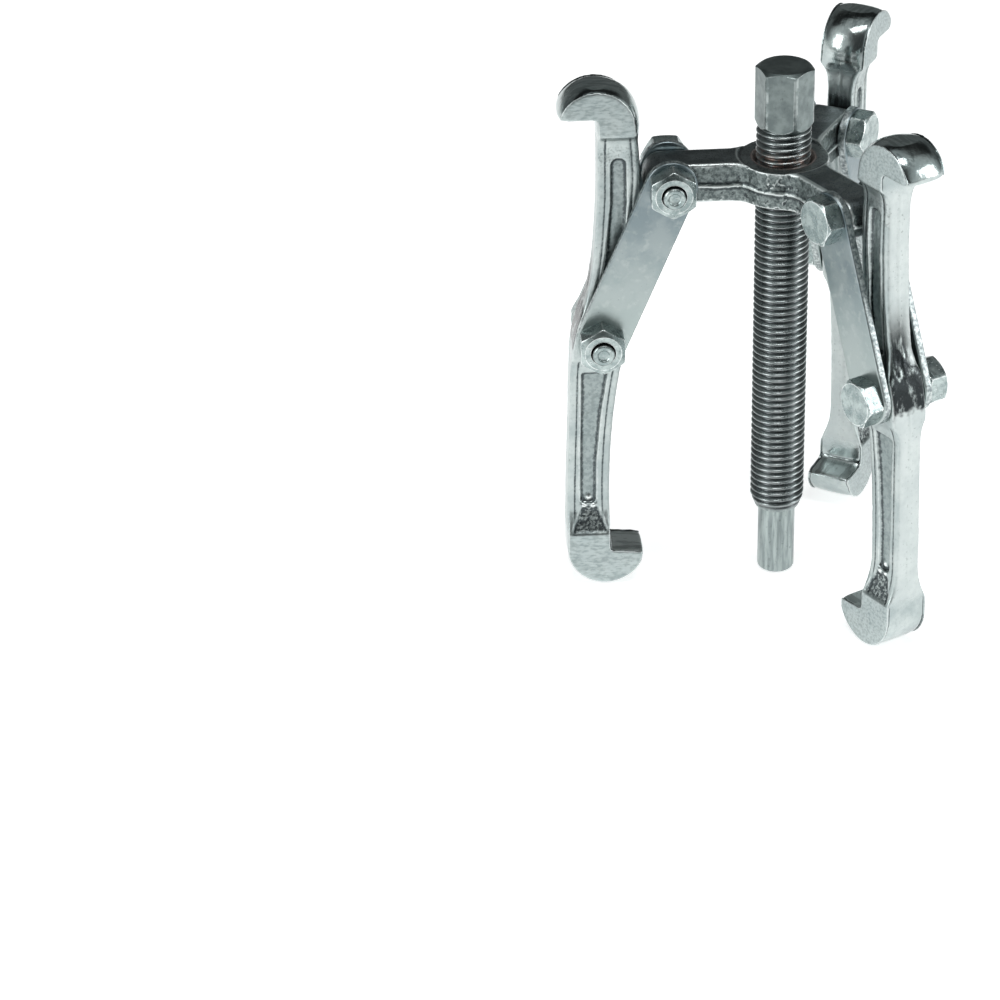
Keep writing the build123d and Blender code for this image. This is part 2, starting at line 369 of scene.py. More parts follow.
def softened(points, radius, steps=3):
    """Round the inner corners of an r, z profile with small arcs."""
    rounded = [points[0]]
    for before, corner, after in zip(points, points[1:], points[2:]):
        corner = Vector(corner)
        back_way = Vector(before) - corner
        on_way = Vector(after) - corner
        reach = min(radius, back_way.length * 0.45, on_way.length * 0.45)
        start = corner + back_way.normalized() * reach
        end = corner + on_way.normalized() * reach
        for step in range(steps + 1):
            share = step / steps
            bent = start * (1 - share) ** 2 + corner * 2 * share * (1 - share) + end * share ** 2
            rounded.append(tuple(bent))
    rounded.append(points[-1])
    return rounded


def run(start, end, count):
    """Points evenly spaced from start up to, and without, end."""
    ahead = Vector(end) - Vector(start)
    return [tuple(Vector(start) + ahead * step / count) for step in range(count)]


def noise_wire(place, size, detail=3.0, roughness=0.55, stretch=None):
    """Noise from 0 to 1 with features of the given size in metres, perhaps stretched along an axis."""
    if stretch:
        place = place.add("ShaderNodeMapping", None, {"Vector": place, "Scale": stretch})
    sizes = {"Vector": place, "Scale": 1 / size, "Detail": detail, "Roughness": roughness}
    return place.add("ShaderNodeTexNoise", None, sizes)


def attribute_wire(place, name):
    """A number painted on the piece's points."""
    return place.add("ShaderNodeAttribute", {"attribute_name": name}, out="Fac")


def new_finish(name):
    """A metal material, its shader, and the place on the piece that its patterns read."""
    material = bpy.data.materials.new(name)
    material.use_nodes = True
    shader = material.node_tree.nodes["Principled BSDF"]
    shader.inputs["Metallic"].default_value = 1.0
    place = Wire(material.node_tree).add("ShaderNodeTexCoord", out="Object")
    return material, shader, place


def add_bump(shader, heights):
    """Chain Bump nodes, given as (height wire, depth in metres), into the shader's normal."""
    normal = None
    for height, depth in heights:
        inputs = {"Height": height, "Distance": depth, "Strength": 1.0}
        if normal:
            inputs["Normal"] = normal
        normal = height.add("ShaderNodeBump", None, inputs)
    normal.into(shader, "Normal")


def screw_finish():
    """Oily plated thread with painted shade in its roots, and a paler satin nose and hexagon."""
    material, shader, place = new_finish("oiled_screw_steel")
    x, y, z = place.split()
    radius = (x * x + y * y).math("SQRT", x * x + y * y)
    plain = 1 - z.ramp(nose_length, nose_length + 2 * mm) + z.ramp(hexagon_base - 1 * mm, hexagon_base)
    # Painted shade: the thread's roots are darkened towards black.
    root_shade = (1 - radius.ramp(screw_root, screw_crest - 0.3 * mm)) * (1 - plain)
    film = noise_wire(place, 9 * mm, stretch=(1, 1, 0.4))
    specks = noise_wire(place, 1.1 * mm, detail=4.0).ramp(0.6, 0.72)
    colour = film.ramp(0.35, 0.7).tint((0.27, 0.3, 0.3, 1), (0.37, 0.4, 0.4, 1))
    colour = (root_shade * 0.85).tint(colour, (0.07, 0.075, 0.08, 1))
    turned = noise_wire(place, 1.6 * mm, detail=4.0, stretch=(1, 1, 0.12))
    patches = noise_wire(place, 4.5 * mm, detail=4.0)
    satin = turned.ramp(0.36, 0.68).tint((0.24, 0.28, 0.28, 1), (0.42, 0.48, 0.47, 1))
    drive = patches.ramp(0.36, 0.66).tint((0.15, 0.18, 0.18, 1), (0.23, 0.27, 0.265, 1))
    satin = z.ramp(hexagon_base - 1 * mm, hexagon_base).tint(satin, drive)
    satin = (specks * 0.6).tint(satin, (0.12, 0.14, 0.14, 1))
    # Crisp convex edges, paler in patches: edge wear and a painted highlight along them.
    edge_wear_and_glint = attribute_wire(place, "edge_wear_and_glint").ramp(0.5, 1.0) * noise_wire(place, 3 * mm).ramp(0.35, 0.6)
    satin = (edge_wear_and_glint * 0.4).tint(satin, (0.7, 0.76, 0.75, 1))
    colour = plain.tint(colour, satin)
    near_hub = z.ramp(grease_low - 2 * mm, grease_low + 2 * mm)
    near_hub = near_hub * (1 - z.ramp(grease_low + 4 * mm, grease_low + 9 * mm))
    rusty = near_hub * noise_wire(place, 1.6 * mm).ramp(0.42, 0.6) * 0.55
    colour = rusty.tint(colour, (0.23, 0.13, 0.1, 1))
    colour.into(shader, "Base Color")
    scratches = noise_wire(place, 0.5 * mm, stretch=(1, 1, 0.06))
    roughness = 0.2 + 0.14 * film + 0.2 * rusty + plain * (0.02 + 0.14 * scratches)
    roughness.into(shader, "Roughness")
    fine = noise_wire(place, 0.35 * mm, detail=2.0)
    add_bump(shader, [
        (scratches, 0.004 * mm),
        (patches * plain, 0.05 * mm),
        (fine * (0.4 + plain), 0.008 * mm),
    ])
    return material


screw_steel = screw_finish()
nose_edge = 1.6 * mm
socket_radius = 4.05 * mm
socket_depth = 2 * socket_radius - 0.65 * mm
socket_mouth = math.sqrt(socket_radius ** 2 - (socket_depth - socket_radius) ** 2)
nose_profile = []
for step in range(13):
    swing = math.pi - step / 12 * (math.pi - math.asin(socket_mouth / socket_radius))
    high = socket_depth - socket_radius - socket_radius * math.cos(swing)
    nose_profile.append((abs(socket_radius * math.sin(swing)), high))
nose_profile.append((socket_mouth, 0.0))
nose_profile += run((socket_mouth + 0.3 * mm, 0.0), (nose_radius - nose_edge, 0.0), 2)
for step in range(8):
    swing = step / 7 * math.pi / 2
    out_to = nose_radius - nose_edge + nose_edge * math.sin(swing)
    nose_profile.append((out_to, nose_edge - nose_edge * math.cos(swing)))
nose_profile += run((nose_radius, 3 * mm), (nose_radius, nose_length - 1 * mm), 8)
nose_profile += softened(
    [(nose_radius, nose_length - 0.5 * mm), (nose_radius, nose_length), (lead_radius, nose_length)],
    0.4 * mm,
)
corner = hexagon_flats / math.sqrt(3)
drive_edge = corner - 0.25 * mm
drive_foot = hexagon_base + 1.7 * mm
drive_top = screw_high.z
drive_shoulder = drive_top - 1.15 * mm
drive_face = (corner - 2.1 * mm, drive_top - 0.1 * mm)
drive_profile = [(screw_root, hexagon_base), (corner - 1.6 * mm, hexagon_base)]
drive_profile += run((corner - 1.5 * mm, hexagon_base + 0.05 * mm), (drive_edge, drive_foot), 10)
drive_profile += run((drive_edge, drive_foot), (drive_edge, drive_shoulder), 14)
drive_profile += run((drive_edge, drive_shoulder), drive_face, 12)
drive_profile += softened(
    [drive_face, (corner - 2.3 * mm, drive_top), (corner - 3 * mm, drive_top)],
    0.2 * mm,
)
drive_profile += [(4 * mm, drive_top), (0.0, drive_top)]
spun = {"Columns": screw_columns, "Turn": hexagon_turn, "Material": screw_steel}
screw_mesh = weld("forcing_screw_detail", [
    make_with(lathe, "nose", {**spun, "Across Flats": 1.0}, nose_profile),
    make_with(thread_roll, "thread", {
        **spun,
        "Rows Per Pitch": 8,
        "Pitch": screw_pitch,
        "Crest Radius": screw_crest,
        "Root Radius": screw_root,
        "Low End": nose_length,
        "High End": hexagon_base,
        "Low Radius": lead_radius,
        "High Radius": screw_root,
        "Low Lead": lead_length,
        "High Lead": 1.0 * mm,
    }),
    make_with(lathe, "drive", {**spun, "Across Flats": hexagon_flats}, drive_profile),
], screw_steel, (nose_length, hexagon_base))
screw = bpy.data.objects.new("forcing_screw_detail", screw_mesh)
scene.collection.objects.link(screw)
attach(screw, "forcing_screw")
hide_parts("forcing_screw")

# ---- Thrust ball ---------------------------------------------------------------------
# A hardened bearing ball held captive in the screw's nose, so that the nose can turn on the shaft.
# It is ground and polished, and dulled a little where it bears.
def ball_finish():
    """Polished hard steel with faint smears."""
    material, shader, place = new_finish("bearing_ball_steel")
    smears = noise_wire(place, 2 * mm)
    smears.ramp(0.4, 0.7).tint((0.5, 0.5, 0.51, 1), (0.62, 0.62, 0.62, 1)).into(shader, "Base Color")
    (0.08 + 0.18 * smears).into(shader, "Roughness")
    add_bump(shader, [(noise_wire(place, 0.2 * mm), 0.001 * mm)])
    return material


ball = frame["nodes"]["thrust_ball"]
ball_steel = ball_finish()
for slot in ball.material_slots:
    slot.material = ball_steel

# ---- Yoke ----------------------------------------------------------------------------
# A drop forging in carbon steel with three arms.  Its sides keep the rough skin of the dies and a
# ledge where the flash was trimmed off, and the hub is spot faced and tapped for the screw.
def even_mesh(node, voxel, turned=0.0):
    """A close, even mesh over a CAD node's solid, turned about Z by an angle."""
    shell = bmesh.new()
    shell.from_mesh(frame["nodes"][node].data)
    bmesh.ops.remove_doubles(shell, verts=shell.verts, dist=1e-6)
    bmesh.ops.transform(shell, matrix=Matrix.Rotation(turned, 4, "Z"), verts=shell.verts)
    blank_mesh = bpy.data.meshes.new(node + "_blank")
    shell.to_mesh(blank_mesh)
    shell.free()
    blank = bpy.data.objects.new(node + "_blank", blank_mesh)
    scene.collection.objects.link(blank)
    remesh = blank.modifiers.new("even", "REMESH")
    remesh.mode = "VOXEL"
    remesh.voxel_size = voxel
    evaluated = blank.evaluated_get(bpy.context.evaluated_depsgraph_get())
    mesh = bpy.data.meshes.new_from_object(evaluated)
    bpy.data.objects.remove(blank)
    return mesh


class Clay:
    """The points of an even mesh in millimetres, to be worked like a forging before it cools."""

    def __init__(self, mesh):
        self.mesh = mesh
        count = len(mesh.vertices)
        flat = np.empty(count * 3)
        mesh.vertices.foreach_get("co", flat)
        self.points = flat.reshape(-1, 3) * 1000
        self.low = self.points.min(0)
        self.high = self.points.max(0)
        pairs = np.empty(len(mesh.edges) * 2, np.int64)
        mesh.edges.foreach_get("vertices", pairs)
        self.pairs = pairs.reshape(-1, 2)
        self.degree = np.bincount(pairs, minlength=count)[:, None]

    def relaxed(self, rounds, weight=1.0):
        """The points after rounds of smoothing, where weight may differ from point to point."""
        points = self.points
        start, end = self.pairs.T
        for _ in range(rounds):
            total = np.stack([
                np.bincount(start, points[end, axis], len(points))
                + np.bincount(end, points[start, axis], len(points))
                for axis in range(3)
            ], axis=1)
            points = points + 0.5 * np.reshape(weight, (-1, 1)) * (total / self.degree - points)
        return points

    def normals(self):
        """The direction each point faces."""
        self.write()
        flat = np.empty(len(self.points) * 3)
        self.mesh.vertex_normals.foreach_get("vector", flat)
        return flat.reshape(-1, 3)

    def write(self):
        """Put the points back in the mesh, kept inside the box of the solid they came from."""
        self.points = np.clip(self.points, self.low, self.high)
        self.mesh.vertices.foreach_set("co", (self.points / 1000).ravel())
        self.mesh.update()

    def speckle(self, size, seed, octaves=3, stretch=(1, 1, 1)):
        """Noise from about -1 to 1 at each point, with features about size millimetres across."""
        away = Vector((seed * 17.3, seed * 5.1, seed * 9.7))
        scaled = self.points * (np.array(stretch) / size)
        return np.array([noise.fractal(Vector(point) + away, 0.6, 2.0, octaves) for point in scaled])

    def paint(self, name, values):
        """Store one number for each point, for the material to read."""
        self.mesh.attributes.new(name, "FLOAT", "POINT").data.foreach_set("value", values)

    def paint_hollows(self, rounds=10, depth=0.12):
        """Store how far each point lies in a hollow, 1, or on an edge, -1."""
        sunk = np.einsum("ij,ij->i", self.relaxed(rounds) - self.points, self.normals())
        self.paint("hollow", np.clip(sunk / depth, -1, 1))


def step_up(values, start, end):
    """A smooth step from 0 to 1 while values go from start to end."""
    share = np.clip((values - start) / (end - start), 0, 1)
    return share * share * (3 - 2 * share)


_, yoke_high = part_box("yoke")
yoke_top = yoke_high.z / mm
parting_z = 161.6  # in mm, as the four sizes below are
spot_radius = 16.5
spot_depth = 0.35
mouth_inner = 9.9
mouth_outer = 11.9
yoke_voxel = 0.45 * mm


def dressed(mesh, material):
    """The mesh in its one material, shaded smooth."""
    mesh.materials.clear()
    mesh.materials.append(material)
    mesh.shade_smooth()
    return mesh


def yoke_shape():
    """The yoke with its forged sides, its trimmed ledge, its spot face and the burr at its mouth."""
    clay = Clay(even_mesh("yoke", yoke_voxel))
    clay.points = clay.relaxed(6)
    normals = clay.normals()
    x, y, z = clay.points.T
    radius = np.hypot(x, y)
    upright = step_up(1 - np.abs(normals[:, 2]), 0.35, 0.7)
    outside = upright * step_up(radius, 11.5, 13)
    skin = 0.16 * clay.speckle(4.5, 1) + 0.04 * clay.speckle(1.4, 2)
    near_hub = 1 - step_up(radius, 17, 24)
    pits = -0.28 * step_up(clay.speckle(2.6, 3), 0.34, 0.55) * (0.35 + 0.65 * near_hub)
    ledge = 0.7 * np.exp(-((z - parting_z - 0.5 * clay.speckle(9, 4)) / 0.65) ** 2)
    below = 0.12 * step_up(parting_z - z, 0.0, 0.5)
    in_spot = 1 - step_up(radius, spot_radius - 0.35, spot_radius + 0.35)
    sunk = spot_depth * in_spot * step_up(z, yoke_top - 1, yoke_top - 0.6)
    top_wave = 0.03 * clay.speckle(9, 5) * (1 - upright)
    mouth = (radius > mouth_inner) * (radius < mouth_outer) * (z > yoke_top - 3)
    burr = mouth * 0.16 * clay.speckle(0.9, 6)
    raised_by = outside * (skin + pits + ledge - below) + top_wave + burr
    clay.points = clay.points + normals * raised_by[:, None]
    clay.points[:, 2] -= sunk
    clay.write()
    clay.paint("die_skin", outside)
    clay.paint("mouth", np.clip(mouth * (1.0 + 0.5 * clay.speckle(1.4, 7)), 0, 1))
    clay.paint_hollows()
    return clay.mesh


def yoke_finish():
    """Dull plate: dark and smooth on top, mottled and paler on the forged sides, with painted shade in
    hollows and painted highlights on edges.
    """
    material, shader, place = new_finish("dull_plated_forging")
    x, y, z = place.split()
    radius = (x * x + y * y).math("SQRT", x * x + y * y)
    skin = attribute_wire(place, "die_skin")
    hollow = attribute_wire(place, "hollow")
    mouth = attribute_wire(place, "mouth")
    cloud = noise_wire(place, 6 * mm, detail=4.0)
    mottle = noise_wire(place, 1.3 * mm, detail=5.0, roughness=0.65)
    top = cloud.ramp(0.35, 0.7).tint((0.12, 0.14, 0.145, 1), (0.24, 0.275, 0.28, 1))
    side = mottle.ramp(0.36, 0.66).tint((0.09, 0.11, 0.11, 1), (0.25, 0.29, 0.285, 1))
    in_spot = 1 - radius.ramp((spot_radius - 0.5) * mm, spot_radius * mm)
    top = (in_spot * 0.5).tint(top, (0.33, 0.37, 0.37, 1))
    top = (mottle.ramp(0.48, 0.66) * 0.4).tint(top, (0.08, 0.095, 0.1, 1))
    pricks = noise_wire(place, 0.55 * mm, detail=2.0).ramp(0.52, 0.66)
    top = (pricks * 0.8).tint(top, (0.035, 0.042, 0.045, 1))
    colour = skin.tint(top, side)
    # Painted shade in the hollows, and painted highlights along the edges.
    colour = (hollow.ramp(0.15, 0.8) * 0.75).tint(colour, (0.035, 0.04, 0.045, 1))
    colour = ((0 - hollow).ramp(0.3, 0.95) * 0.8).tint(colour, (0.74, 0.79, 0.78, 1))
    colour = (mouth * 0.7).tint(colour, (0.36, 0.27, 0.245, 1))
    colour.into(shader, "Base Color")
    fine = noise_wire(place, 0.4 * mm, detail=3.0)
    rings = noise_wire(radius.add("ShaderNodeCombineXYZ", None, {0: radius, 1: z}), 0.25 * mm)
    roughness = 0.32 + 0.12 * cloud + skin * (0.06 * mottle) + mouth * 0.25 - 0.04 * in_spot
    roughness.into(shader, "Roughness")
    add_bump(shader, [
        (mottle * (0.35 + 0.65 * skin), 0.06 * mm),
        (cloud * (1 - skin), 0.05 * mm),
        (pricks * (1 - skin), 0.03 * mm),
        (fine, 0.012 * mm),
        (rings * in_spot * (1 - skin), 0.01 * mm),
    ])
    return material


yoke = bpy.data.objects.new("yoke_forging", dressed(yoke_shape(), yoke_finish()))
scene.collection.objects.link(yoke)
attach(yoke, "yoke")
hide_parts("yoke")

# ---- Straps --------------------------------------------------------------------------
# Each jaw hangs on a pair of straps, blanked from 3 mm rolled bar and plated bright.  Their flat
# faces stay smooth, and the sheared edges are rough, with a rolled corner on one side.
arm_angles = {1: 180.0, 2: 300.0, 3: 60.0}
arm_turns = {
    number: Matrix.Rotation(math.radians(degrees), 4, "Z")
    for number, degrees in arm_angles.items()
}
joints = {joint["name"]: joint for joint in frame["joints"]}


def arm_place(joint_name):
    """Where a pivot is, as its distance out from the screw and its height, in mm."""
    x, y, z = joints[joint_name]["pos_m"]
    return math.hypot(x, y) / mm, z / mm


upper_pivot = arm_place("link_1_swing")
lower_pivot = arm_place("jaw_1_tilt")


strap_voxel = 0.4 * mm


def strap_shape(side):
    """A strap of the first arm, in that arm's own r, t, z: its rough edges and its flat faces."""
    clay = Clay(even_mesh(f"strap_1_{side}_side", strap_voxel, math.pi))
    clay.points = clay.relaxed(3)
    normals = clay.normals()
    edge = step_up(1 - np.abs(normals[:, 1]), 0.3, 0.8)
    r, _, z = clay.points.T
    from_bolts = np.minimum(
        np.hypot(r - upper_pivot[0], z - upper_pivot[1]),
        np.hypot(r - lower_pivot[0], z - lower_pivot[1]),
    )
    sheared = edge * step_up(from_bolts, 6.2, 7.5)
    tears = clay.speckle(1.3, 11, 3, stretch=(1, 0.2, 1))
    clay.points = clay.points + normals * (sheared * (0.1 * tears - 0.08))[:, None]
    clay.points = clay.points + normals * ((1 - edge) * (0.02 * clay.speckle(12, 12) - 0.01))[:, None]
    clay.write()
    clay.paint("sheared", sheared)
    clay.paint_hollows()
    return clay.mesh


def strap_finish():
    """Bright zinc plate with soft clouds, stains, dark specks and torn, sheared edges."""
    material, shader, place = new_finish("bright_plated_bar")
    sheared = attribute_wire(place, "sheared")
    hollow = attribute_wire(place, "hollow")
    _, _, z = place.split()
    cloud = noise_wire(place, 13 * mm, detail=4.0)
    stain = noise_wire(place, 3.5 * mm, detail=4.0)
    specks = noise_wire(place, 0.8 * mm, detail=2.0).ramp(0.7, 0.78)
    # The colour darkens from the lower pivot up to the upper one.
    darker_upward = z.ramp(lower_pivot[1] * mm, upper_pivot[1] * mm)
    colour = darker_upward.tint((0.39, 0.45, 0.44, 1), (0.2, 0.25, 0.27, 1))
    colour = (cloud.ramp(0.42, 0.62) * 0.28).tint(colour, (0.48, 0.52, 0.51, 1))
    colour = (stain.ramp(0.52, 0.7) * 0.25).tint(colour, (0.6, 0.64, 0.62, 1))
    torn = noise_wire(place, 1.2 * mm, detail=3.0).ramp(0.35, 0.65)
    torn = torn.tint((0.2, 0.23, 0.24, 1), (0.66, 0.71, 0.7, 1))
    colour = (sheared * 0.8).tint(colour, torn)
    # Painted shade in the hollows.
    colour = (hollow.ramp(0.3, 0.9) * 0.6).tint(colour, (0.06, 0.065, 0.07, 1))
    colour = (specks * 0.6).tint(colour, (0.16, 0.17, 0.17, 1))
    colour.into(shader, "Base Color")
    grain = noise_wire(place, 0.3 * mm, detail=2.0)
    (0.26 + 0.12 * stain + 0.1 * sheared).into(shader, "Roughness")
    add_bump(shader, [(cloud, 0.06 * mm), (stain, 0.03 * mm), (grain, 0.008 * mm)])
    return material


def place_piece(name, mesh, body, nodes, matrix):
    """A copy of a mesh put in place on a body, standing for its CAD nodes."""
    placed = mesh.copy()
    placed.name = name
    placed.transform(matrix)
    piece = bpy.data.objects.new(name, placed)
    scene.collection.objects.link(piece)
    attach(piece, body)
    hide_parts(*nodes)


strap_steel = strap_finish()
for side in ("nut", "head"):
    strap_mesh = dressed(strap_shape(side), strap_steel)
    for number, to_arm in arm_turns.items():
        node = f"strap_{number}_{side}_side"
        place_piece(node + "_bar", strap_mesh, f"link_{number}", [node], to_arm)

# ---- Pivot bolts and nuts ------------------------------------------------------------
# Twelve M10 hexagon bolts and nuts, cold headed and plated bright, hold the straps to the yoke and
# to the jaws.  The upper ones stay with the yoke's arms, and the lower ones move with the straps.
nut_low, nut_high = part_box("lower_nut_1")
bolt_low, bolt_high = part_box("lower_bolt_1")
seat = -nut_high.y
nut_top = -nut_low.y
bolt_end = -bolt_low.y
head_top = -bolt_high.y
fastener_flats = 16.0 * mm
fastener_corner = fastener_flats / math.sqrt(3)
bolt_radius = 5.0 * mm
bolt_root = 4.15 * mm
bolt_pitch = 1.5 * mm
fastener_columns = 72


def fastener_finish():
    """Bright zinc plate with fine tool scratches and faint stains."""
    material, shader, place = new_finish("bright_plated_fastener")
    cloud = noise_wire(place, 4 * mm, detail=3.0)
    stain = noise_wire(place, 1.2 * mm, detail=4.0)
    scratch = noise_wire(place, 0.5 * mm, detail=3.0, stretch=(0.2, 1.0, 1.3)).ramp(0.62, 0.68)
    colour = cloud.ramp(0.35, 0.65).tint((0.27, 0.33, 0.33, 1), (0.46, 0.53, 0.52, 1))
    colour = (stain.ramp(0.5, 0.7) * 0.45).tint(colour, (0.18, 0.22, 0.22, 1))
    # Crisp convex edges, paler in patches: edge wear and a painted highlight along them.
    edge_wear_and_glint = attribute_wire(place, "edge_wear_and_glint").ramp(0.35, 0.95) * noise_wire(place, 2 * mm).ramp(0.3, 0.55)
    colour = (edge_wear_and_glint * 0.85).tint(colour, (0.88, 0.92, 0.91, 1))
    colour = (scratch * 0.5).tint(colour, (0.86, 0.88, 0.87, 1))
    nicks = noise_wire(place, 0.7 * mm, detail=3.0, stretch=(1.3, 1.0, 0.25)).ramp(0.64, 0.7)
    colour = (nicks * 0.6).tint(colour, (0.08, 0.1, 0.1, 1))
    # Painted shade in the gap between the bolt's thread and the nut's bore.
    colour = (attribute_wire(place, "gap_shade") * 0.92).tint(colour, (0.03, 0.035, 0.035, 1))
    colour.into(shader, "Base Color")
    (0.16 + 0.16 * cloud + 0.08 * stain).into(shader, "Roughness")
    fine = noise_wire(place, 0.25 * mm)
    add_bump(shader, [
        (scratch, 0.012 * mm),
        (cloud, 0.08 * mm),
        (stain, 0.03 * mm),
        (fine, 0.005 * mm),
    ])
    return material


fastener_steel = fastener_finish()
edge = fastener_corner - 0.2 * mm
cut = 1.25 * mm
cut_rise = cut * math.tan(math.radians(30))
spun = {"Columns": fastener_columns, "Turn": 0.0, "Material": fastener_steel}
head_profile = [(0.0, head_top), (4 * mm, head_top)]
head_profile += run((5.5 * mm, head_top), (edge - cut, head_top), 4)
head_profile += run((edge - cut, head_top + 0.03 * mm), (edge, head_top + cut_rise), 8)
head_profile += run((edge, head_top + cut_rise), (edge, -seat - 0.2 * mm), 8)
head_profile += [(edge, -seat - 0.2 * mm), (edge - 0.2 * mm, -seat)]
head_profile += [(bolt_radius + 0.3 * mm, -seat), (bolt_radius, -seat + 0.3 * mm)]
head_profile += run((bolt_radius, -seat + 1 * mm), (bolt_radius, seat + 1 * mm), 6)
thread_start = seat + 1.6 * mm
thread_end = nut_top - 1.3 * mm
head_profile += [(bolt_root, thread_start)]
end_radius = bolt_root - 0.1 * mm
end_corner = (end_radius, bolt_end - 0.5 * mm)
end_profile = [(bolt_root, thread_end)]
end_profile += run((end_radius, thread_end + 0.2 * mm), end_corner, 3)
end_profile += softened([
    end_corner,
    (bolt_root - 0.6 * mm, bolt_end),
    (2.4 * mm, bolt_end),
    (1.9 * mm, bolt_end - 0.5 * mm),
    (0.9 * mm, bolt_end - 0.6 * mm),
], 0.15 * mm)
end_profile += [(0.0, bolt_end - 0.6 * mm)]
bolt_mesh = weld("pivot_bolt", [
    make_with(lathe, "head", {**spun, "Across Flats": fastener_flats}, head_profile),
    make_with(thread_roll, "bolt_thread", {
        **spun,
        "Rows Per Pitch": 8,
        "Pitch": bolt_pitch,
        "Crest Radius": bolt_radius - 0.02 * mm,
        "Root Radius": bolt_root,
        "Low End": thread_start,
        "High End": thread_end,
        "Low Radius": bolt_root,
        "High Radius": bolt_root,
        "Low Lead": 0.8 * mm,
        "High Lead": 0.7 * mm,
    }),
    make_with(lathe, "bolt_end", {**spun, "Across Flats": 1.0}, end_profile),
], fastener_steel, (thread_start, thread_end))

bore = bolt_radius + 0.03 * mm
mouth = 0.3 * mm
lip = bolt_root + 0.15 * mm
nut_cut = 2.2 * mm
nut_cut_rise = nut_cut * math.tan(math.radians(30))
nut_profile = [(bore, seat + mouth), (bore + mouth, seat), (edge - cut, seat)]
nut_profile += run((edge - cut, seat + 0.02 * mm), (edge, seat + cut_rise), 8)
nut_profile += run((edge, seat + cut_rise), (edge, nut_top - nut_cut_rise), 8)
nut_profile += run((edge, nut_top - nut_cut_rise), (edge - nut_cut, nut_top - 0.05 * mm), 14)
nut_profile += run((edge - nut_cut - 0.2 * mm, nut_top), (lip + 0.3 * mm, nut_top), 6)
nut_profile += [(lip + 0.3 * mm, nut_top), (lip, nut_top - 0.3 * mm), (lip, nut_top - 0.95 * mm)]
nut_profile += run((bore, nut_top - 1.2 * mm), (bore, seat + mouth), 6)
nut_profile += [(bore, seat + mouth)]
nut_spin = {**spun, "Across Flats": fastener_flats, "Turn": math.radians(30)}
nut_mesh = weld("pivot_nut", [make_with(lathe, "nut", nut_spin, nut_profile)], fastener_steel, (0, 0))


def paint_gap_shade(mesh, low_radius, high_radius, above_z):
    """Mark the ring round the bolt's thread, above a height, for painted shade in the gap between bolt
    and nut.
    """
    flat = np.empty(len(mesh.vertices) * 3)
    mesh.vertices.foreach_get("co", flat)
    x, y, z = flat.reshape(-1, 3).T
    radius = np.hypot(x, y)
    gap_shaded = (radius > low_radius) & (radius < high_radius) & (z > above_z)
    mesh.attributes.new("gap_shade", "FLOAT", "POINT").data.foreach_set("value", gap_shaded.astype(float))


paint_gap_shade(nut_mesh, 0.0, lip + 0.15 * mm, seat + 1 * mm)
paint_gap_shade(bolt_mesh, bolt_root - 0.2 * mm, 1.0, thread_start)

across_arm = Matrix.Rotation(math.radians(-90), 4, "X")
for number, to_arm in arm_turns.items():
    for level_name, (r, z), body in (
        ("upper", upper_pivot, "yoke"),
        ("lower", lower_pivot, f"link_{number}"),
    ):
        stand = to_arm @ Matrix.Translation((r * mm, 0, z * mm)) @ across_arm
        for kind, mesh in (("bolt", bolt_mesh), ("nut", nut_mesh)):
            node = f"{level_name}_{kind}_{number}"
            place_piece(node + "_plated", mesh, body, [node], stand)

# ---- Jaws ----------------------------------------------------------------------------
# Each jaw is a drop forging with a hook at both ends, the upper one turned out and the lower one
# in, so that it can be reversed.  Its sides carry shallow panels, and it is plated bright.

# Sizes in mm, along r out from the screw, t across the jaw and z up from the screw's nose.
head_half = 8.8
shank_half = 5.2
lower_head_z = (18, 26)
upper_head_z = (178, 186)
boss_z = (90, 96, 108, 116)
scoop_z = (20.5, 23, 29.5, 33)
scoop_middle = 70.6
hook_tips = ((82.0, 189.1), (50.1, 13.0))
flash_beads = ((69.4, 31.6, 1.0), (72.6, 31.8, 0.9), (70.9, 34.6, 1.1))
boss_throat_z = (97, 99, 121, 141)
upper_throat_z = (150, 162, 169, 176)
scarred_z = (163, 171, 176, 179)
jaw_voxel = 0.45 * mm


def rise_and_fall(values, start, full, fading, end):
    """A smooth hump: 0 up to start, 1 from full to fading, and 0 again from end."""
    return step_up(values, start, full) * (1 - step_up(values, fading, end))


def outline_distance(clay):
    """How far each point lies from the jaw's outline, seen from the side, in mm."""
    middle = [point for point in clay.points if abs(point[1]) < 0.4]
    tree = kdtree.KDTree(len(middle))
    for index, (r, _, z) in enumerate(middle):
        tree.insert((r, 0.0, z), index)
    tree.balance()
    return np.array([tree.find((r, 0.0, z))[2] for r, _, z in clay.points])


